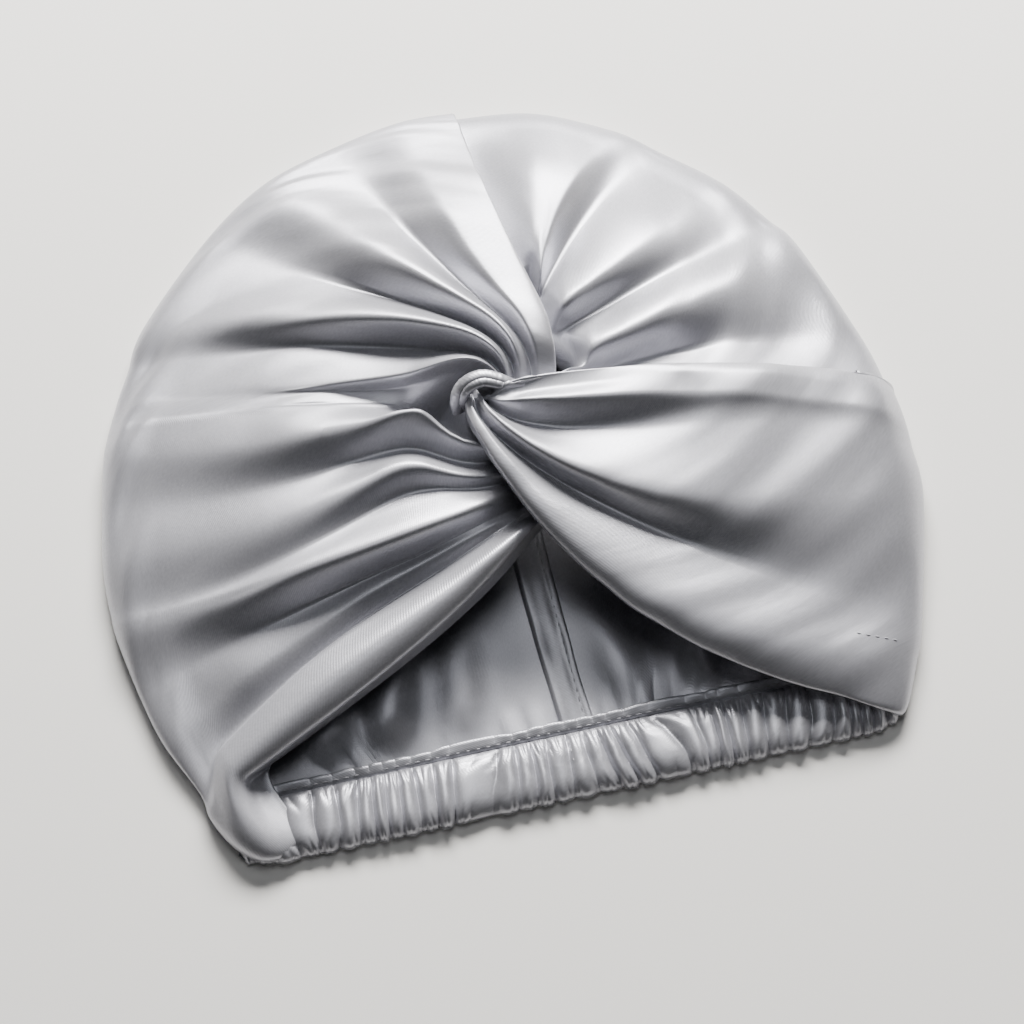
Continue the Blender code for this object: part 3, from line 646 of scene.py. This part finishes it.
def band():
    """Gathered casing: from its stitches over the bulge to the lower edge, then back underneath."""
    first, last = -BAND_LENGTH / 2 - BAND_MORE[0], BAND_LENGTH / 2 + BAND_MORE[1]
    x = np.linspace(first, last, BAND_COLUMNS + 1)
    inner = np.minimum(x - first, last - x)
    ends = 1 - 0.20 * smooth(0.020, 0.004, inner) - 0.55 * smooth(0.004, 0.0, inner)
    end_rise = 0.0025 * smooth(0.014, 0.0, inner) + 0.0030 * smooth(0.003, 0.0, inner)
    rows = []
    for w in np.arange(BAND_RINGS + 1) / BAND_RINGS:
        outer = w < OUTER_SHARE
        if outer:
            v = w / OUTER_SHARE
            round_in = (1 - abs(2 * v - 1) ** 3.2) ** 0.6 if 0 < v < 1 else 0.0
            foot = LOWER_HEIGHT if v > 0.5 else STITCH_HEIGHT
            z = foot + (BAND_THICK - foot) * round_in
        else:
            v = 1 - (w - OUTER_SHARE) / (1 - OUTER_SHARE) * 0.9
            z = LOWER_HEIGHT - 0.0013 * smooth(OUTER_SHARE, 0.84, w)
        y = BAND_TOP_Y - 0.0005 - v * (BAND_TALL - 0.0012)
        lift = gather_height(x, np.full_like(x, v)) - 0.5
        wave = EDGE_WAVE * lift * smooth(0.70 if outer else 0.3, 1.0, v)
        if outer:
            z = z * ends + GATHER_DEPTH * lift * smooth(-0.03, 0.14, v) * ends
            z = np.maximum(z, 0.0012)
        y = y - (wave - end_rise * smooth(0.3, 1.0, v))
        rows.append(np.stack([x, y, np.broadcast_to(z, x.shape)], axis=1))
    return grid_object("nape_band_cloth", np.stack(rows), SATIN_BAND, flip=True)


def frill():
    """Ruffled fold edge above the casing's stitches."""
    x = (np.arange(BAND_COLUMNS + 1) / BAND_COLUMNS - 0.5) * (BAND_LENGTH - 0.002)
    s = gather_phase(x, np.zeros_like(x))
    wave = np.abs(np.sin(math.pi * s)) ** 0.8 - 0.6
    rows = []
    for above, height in FRILL_PROFILE:
        up = smooth(0.0, 0.003, above)
        y = BAND_TOP_Y + above + 0.0004 * up * noise(s * 1.1, 0, 53) + 0.0004 * noise(s * 0.3, 0, 59)
        z = height + 0.0005 * wave * up + 0.0003 * noise(s * 0.6, 0, 61)
        rows.append(np.stack([x, y, z], axis=1))
    return grid_object("band_frill", np.stack(rows), SATIN_BAND)


# Stitches: the pitch, length and radius of each row's thread

BAND_STITCH = (0.0036, 0.0026, 0.00028)
JOIN_STITCH = (0.0036, 0.0024, 0.00028)
SEAM_STITCH = (0.0036, 0.0026, 0.00026)
HEM_STITCH = (0.0034, 0.0025, 0.00030)
UP = np.array([0.0, 0.0, 1.0])


def stitches(name, path, pitch, length, radius):
    """A row of stitches along a path of points, each a short thread that dips into the cloth."""
    path = np.asarray(path, float)
    step = np.linalg.norm(np.diff(path, axis=0), axis=1)
    along = np.concatenate(([0.0], np.cumsum(step)))
    points = []
    faces = []
    uv = []
    sides, rings = 6, 5
    for k in range(int(along[-1] / pitch)):
        for ring in range(rings + 1):
            w = ring / rings
            at = (k + 0.5) * pitch + (w - 0.5) * length
            centre = np.array([np.interp(at, along, path[:, i]) for i in range(3)])
            ahead = np.array([np.interp(at + 1e-4, along, path[:, i]) for i in range(3)]) - centre
            ahead /= np.linalg.norm(ahead)
            over = np.cross(ahead, UP)
            over /= np.linalg.norm(over)
            thick = radius * max(0.25, math.sin(math.pi * w) ** 0.5)
            sink = radius * (0.2 + 1.2 * (2 * w - 1) ** 2)
            for j in range(sides):
                a = 2 * math.pi * j / sides
                points.append(centre + over * thick * math.cos(a)
                              + UP * (thick * math.sin(a) - sink))
                uv.append((w * length, j * radius))
        base = k * sides * (rings + 1)
        for ring in range(rings):
            for j in range(sides):
                a = base + ring * sides + j
                b = base + ring * sides + (j + 1) % sides
                faces.append((a, a + sides, b + sides, b))
    return make_object(name, np.array(points), np.array(faces), np.array(uv), THREAD)


def band_path():
    """Along the stitches between the casing and the frill."""
    x = np.linspace(-BAND_LENGTH / 2 + 0.004, BAND_LENGTH / 2 - 0.004, 400)
    return np.stack([x, np.full_like(x, BAND_TOP_Y + 0.0005), np.full_like(x, 0.0040)], 1)


def join_path():
    """Over the band's middle, where the casing's ends are joined."""
    y = np.linspace(BAND_LOW_Y + 0.002, BAND_TOP_Y - 0.002, 40)
    drop = np.abs(2 * (y - y[0]) / (y[-1] - y[0]) - 1) ** 3
    return np.stack([np.full_like(y, -0.001), y, 0.0066 - 0.0030 * drop], 1)


band_cloth = band()
frill_cloth = frill()
band_stitches = stitches("band_stitches", band_path(), *BAND_STITCH)
join_stitches = stitches("band_join_stitches", join_path(), *JOIN_STITCH)


# Centre seam. Its foot lies a little to the right of its top.

SEAM_LEAN = 0.0035
SEAM_WIDE = 0.0130
SEAM_LOW_Y = -0.110
SEAM_LONG = 0.233
SEAM_BASE = 0.0009
# Section of the seam's fold: place across, as a share of the width, and height
SEAM_PROFILE = [(-0.5, 0.0), (-0.49, 0.0012), (-0.44, 0.0020), (-0.36, 0.0022), (-0.2, 0.0017),
                (0.0, 0.0016), (0.15, 0.0015), (0.24, 0.0011), (0.30, 0.0013), (0.42, 0.0016),
                (0.48, 0.0012), (0.5, 0.0)]


def centre_seam():
    """The two halves' edges, folded together along the middle of the back."""
    low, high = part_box("centre_seam")
    y = np.linspace(low[1], high[1], 220)
    share = (y - y[0]) / (y[-1] - y[0])
    wide = SEAM_WIDE * (1 + 0.12 * noise(y / 0.02, 0, 71))
    columns = []
    for w, height in SEAM_PROFILE:
        x = SEAM_LEAN - SEAM_LEAN * share + w * wide + 0.0008 * noise(y / 0.03, 0, 73)
        z = SEAM_BASE + height * (1 + 0.2 * noise(y / 0.012, w * 2, 79))
        columns.append(np.stack([x, y, z], axis=1))
    return grid_object("centre_seam_cloth", np.stack(columns, axis=1), SATIN_SEAM)


def seam_path():
    """Up the seam's fold, beside its right edge."""
    y = np.linspace(BAND_TOP_Y + 0.006, 0.10, 300)
    share = (y - SEAM_LOW_Y) / SEAM_LONG
    return np.stack([SEAM_LEAN - SEAM_LEAN * share + 0.0032, y, np.full_like(y, 0.0022)], 1)


seam_cloth = centre_seam()
seam_stitches = stitches("seam_stitches", seam_path(), *SEAM_STITCH)


# Short row of stitches that holds the right hem's fold at the rim

HEM_STITCH_ROWS = (104, 127)
HEM_STITCH_COLUMN = 146


def hem_path(item):
    """Along one column of the right half's front, just above the cloth."""
    columns = (len(RIGHT_FOLDS) - 1) * COLUMNS + 1
    spots = np.zeros(3 * len(item.data.vertices))
    item.data.vertices.foreach_get("co", spots)
    rows = TUCK_ROWS + np.arange(*HEM_STITCH_ROWS)
    return spots.reshape(-1, 3)[rows * columns + HEM_STITCH_COLUMN] + (0, 0, 0.0001)


hem_stitches = stitches("hem_stitches", hem_path(right), *HEM_STITCH)


# What each piece rides on. The solids that the cloth takes the place of are hidden

for item in (left, right, twist_loop, band_cloth, frill_cloth, band_stitches, join_stitches,
             hem_stitches, seam_cloth, seam_stitches):
    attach(item, "root")
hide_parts("left_panel")
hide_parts("right_panel")
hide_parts("nape_band")
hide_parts("centre_seam")


# Camera, floor and light

CAMERA_HIGH = math.radians(65)
CAMERA_ROUND = math.radians(-12.9)
CAMERA_AWAY = 0.9
LENS = 86.7
TARGET = np.array([0.0, -0.0285, 0.0])
FLOOR_HALF = 3
FLOOR_GAP = 0.0003


def set_matrix(item, place, target):
    """Put a camera or light at a place, pointing at a target."""
    place, target = np.array(place, float), np.array(target, float)
    b = (place - target) / np.linalg.norm(place - target)
    s = np.cross((0, 0, 1), b)
    s /= np.linalg.norm(s)
    t = np.cross(b, s)
    item.matrix_world = Matrix([[s[0], t[0], b[0], place[0]], [s[1], t[1], b[1], place[1]],
                                [s[2], t[2], b[2], place[2]], [0, 0, 0, 1]])


def add_camera():
    """A camera high above the front, turned a little to the left."""
    data = bpy.data.cameras.new("camera")
    data.lens = LENS
    data.sensor_width = 36
    data.clip_start = 0.05
    item = bpy.data.objects.new("camera", data)
    bpy.context.scene.collection.objects.link(item)
    bpy.context.scene.camera = item
    away = np.array([math.sin(CAMERA_ROUND) * math.cos(CAMERA_HIGH),
                     -math.cos(CAMERA_ROUND) * math.cos(CAMERA_HIGH), math.sin(CAMERA_HIGH)])
    set_matrix(item, TARGET + away * CAMERA_AWAY, TARGET)


def area_light(name, place, target, size, power, colour):
    """A rectangular studio light."""
    data = bpy.data.lights.new(name, "AREA")
    data.shape = "RECTANGLE"
    data.size, data.size_y = size
    data.energy = power
    data.color = colour
    item = bpy.data.objects.new(name, data)
    bpy.context.scene.collection.objects.link(item)
    set_matrix(item, place, target)


add_camera()
area_light("window", (0.30, 1.12, 0.80), (0, 0, 0), (1.0, 0.42), 82, (1.0, 0.985, 0.965))
area_light("sky", (0.1, 0.35, 1.5), (0, 0, 0), (0.8, 0.8), 4.0, (0.95, 0.97, 1.0))

world = bpy.data.worlds.new("studio")
world.use_nodes = True
world.node_tree.nodes["Background"].inputs["Color"].default_value = (0.92, 0.95, 1.0, 1)
world.node_tree.nodes["Background"].inputs["Strength"].default_value = 0.035
bpy.context.scene.world = world

floor_mesh = bpy.data.meshes.new("floor")
corners = [(-FLOOR_HALF, -FLOOR_HALF, 0), (FLOOR_HALF, -FLOOR_HALF, 0),
           (FLOOR_HALF, FLOOR_HALF, 0), (-FLOOR_HALF, FLOOR_HALF, 0)]
floor_mesh.from_pydata(corners, [], [(0, 1, 2, 3)])
floor = bpy.data.objects.new("floor", floor_mesh)
bpy.context.scene.collection.objects.link(floor)
floor.location.z = -FLOOR_GAP
paper = new_material("floor", {"Base Color": (0.90, 0.885, 0.85, 1), "Roughness": 0.9})[0]
floor_mesh.materials.append(paper)
